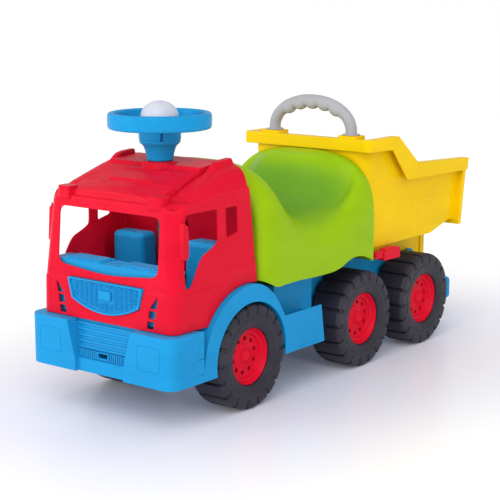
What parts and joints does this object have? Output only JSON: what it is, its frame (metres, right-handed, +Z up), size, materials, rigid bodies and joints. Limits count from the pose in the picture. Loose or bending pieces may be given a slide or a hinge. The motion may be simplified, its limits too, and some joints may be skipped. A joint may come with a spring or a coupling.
{
  "type": "toy ride-on tipper truck",
  "caption": "Toddler ride-on tipper truck with a cab, saddle seat, tipping bucket, carry handle, horn button and rolling wheels on fixed axles.",
  "frame": {"origin": "on the ground under the middle of the truck", "axes": "+Z up, the truck faces -Y, its left side is +X, so its length runs along Y"},
  "size_m": [0.2834, 0.851, 0.457],
  "materials": {
    "red_plastic": "satin moulded plastic",
    "blue_plastic": "satin moulded plastic",
    "green_plastic": "satin blow-moulded plastic",
    "yellow_plastic": "satin moulded plastic",
    "grey_plastic": "fine matt moulded plastic",
    "white_plastic": "satin moulded plastic",
    "tyre_plastic": "matt black moulded plastic",
    "bellows_rubber": "matt soft rubber",
    "zinc_steel": "zinc plated"
  },
  "bodies": {
    "truck": {"chassis": "blue_plastic", "front_bumper": "blue_plastic", "fender_left": "blue_plastic", "fender_right": "blue_plastic", "step_tray_left": "blue_plastic", "step_tray_right": "blue_plastic", "cab_shell": "red_plastic", "grille_insert": "blue_plastic", "dashboard": "blue_plastic", "cab_seat_left": "blue_plastic", "cab_seat_right": "blue_plastic", "seat_saddle": "green_plastic", "rear_bumper": "blue_plastic", "bucket_hinge_pin": "zinc_steel", "axle_front": "zinc_steel", "axle_middle": "zinc_steel", "axle_rear": "zinc_steel", "bumper_screw_left": "zinc_steel", "bumper_screw_right": "zinc_steel", "rear_screw_left": "zinc_steel", "rear_screw_right": "zinc_steel"},
    "steering": {"steering_column": "blue_plastic", "steering_wheel": "blue_plastic", "steering_shaft": "zinc_steel", "shaft_retainer": "zinc_steel", "horn_bellows": "bellows_rubber"},
    "horn": {"horn_button": "white_plastic"},
    "tipper": {"dump_bucket": "yellow_plastic", "bucket_handle": "grey_plastic"},
    "latch": {"latch_lever": "red_plastic"},
    "wheel_front_left": {"tyre_front_left": "tyre_plastic", "rim_front_left": "red_plastic", "axle_cap_front_left": "red_plastic"},
    "wheel_front_right": {"tyre_front_right": "tyre_plastic", "rim_front_right": "red_plastic", "axle_cap_front_right": "red_plastic"},
    "wheel_middle_left": {"tyre_middle_left": "tyre_plastic", "rim_middle_left": "red_plastic", "axle_cap_middle_left": "red_plastic"},
    "wheel_middle_right": {"tyre_middle_right": "tyre_plastic", "rim_middle_right": "red_plastic", "axle_cap_middle_right": "red_plastic"},
    "wheel_rear_left": {"tyre_rear_left": "tyre_plastic", "rim_rear_left": "red_plastic", "axle_cap_rear_left": "red_plastic"},
    "wheel_rear_right": {"tyre_rear_right": "tyre_plastic", "rim_rear_right": "red_plastic", "axle_cap_rear_right": "red_plastic"}
  },
  "joints": [
    {"name": "wheel_front_left_spin", "type": "hinge", "parent": "truck", "child": "wheel_front_left", "pos_m": [0.1122, -0.2425, 0.08], "axis": [1, 0, 0], "continuous": true},
    {"name": "wheel_front_right_spin", "type": "hinge", "parent": "truck", "child": "wheel_front_right", "pos_m": [-0.1122, -0.2425, 0.08], "axis": [1, 0, 0], "continuous": true},
    {"name": "wheel_middle_left_spin", "type": "hinge", "parent": "truck", "child": "wheel_middle_left", "pos_m": [0.1122, 0.06, 0.08], "axis": [1, 0, 0], "continuous": true},
    {"name": "wheel_middle_right_spin", "type": "hinge", "parent": "truck", "child": "wheel_middle_right", "pos_m": [-0.1122, 0.06, 0.08], "axis": [1, 0, 0], "continuous": true},
    {"name": "wheel_rear_left_spin", "type": "hinge", "parent": "truck", "child": "wheel_rear_left", "pos_m": [0.1122, 0.2526, 0.08], "axis": [1, 0, 0], "continuous": true},
    {"name": "wheel_rear_right_spin", "type": "hinge", "parent": "truck", "child": "wheel_rear_right", "pos_m": [-0.1122, 0.2526, 0.08], "axis": [1, 0, 0], "continuous": true},
    {"name": "steering_turn", "type": "hinge", "parent": "truck", "child": "steering", "pos_m": [0, -0.2855, 0.4], "axis": [0, 0, 1], "continuous": true},
    {"name": "horn_press", "type": "slide", "parent": "steering", "child": "horn", "axis": [0, 0, -1], "range_m": [0, 0.004], "stiffness_N_per_m": 400, "springref_m": -0.002, "deforming": ["horn_bellows"]},
    {"name": "bucket_tip", "type": "hinge", "parent": "truck", "child": "tipper", "pos_m": [0, 0.3025, 0.14], "axis": [-1, 0, 0], "range_deg": [0, 40]},
    {"name": "latch_lift", "type": "hinge", "parent": "truck", "child": "latch", "pos_m": [0, 0.1095, 0.1785], "axis": [1, 0, 0], "range_deg": [0, 30]}
  ]
}
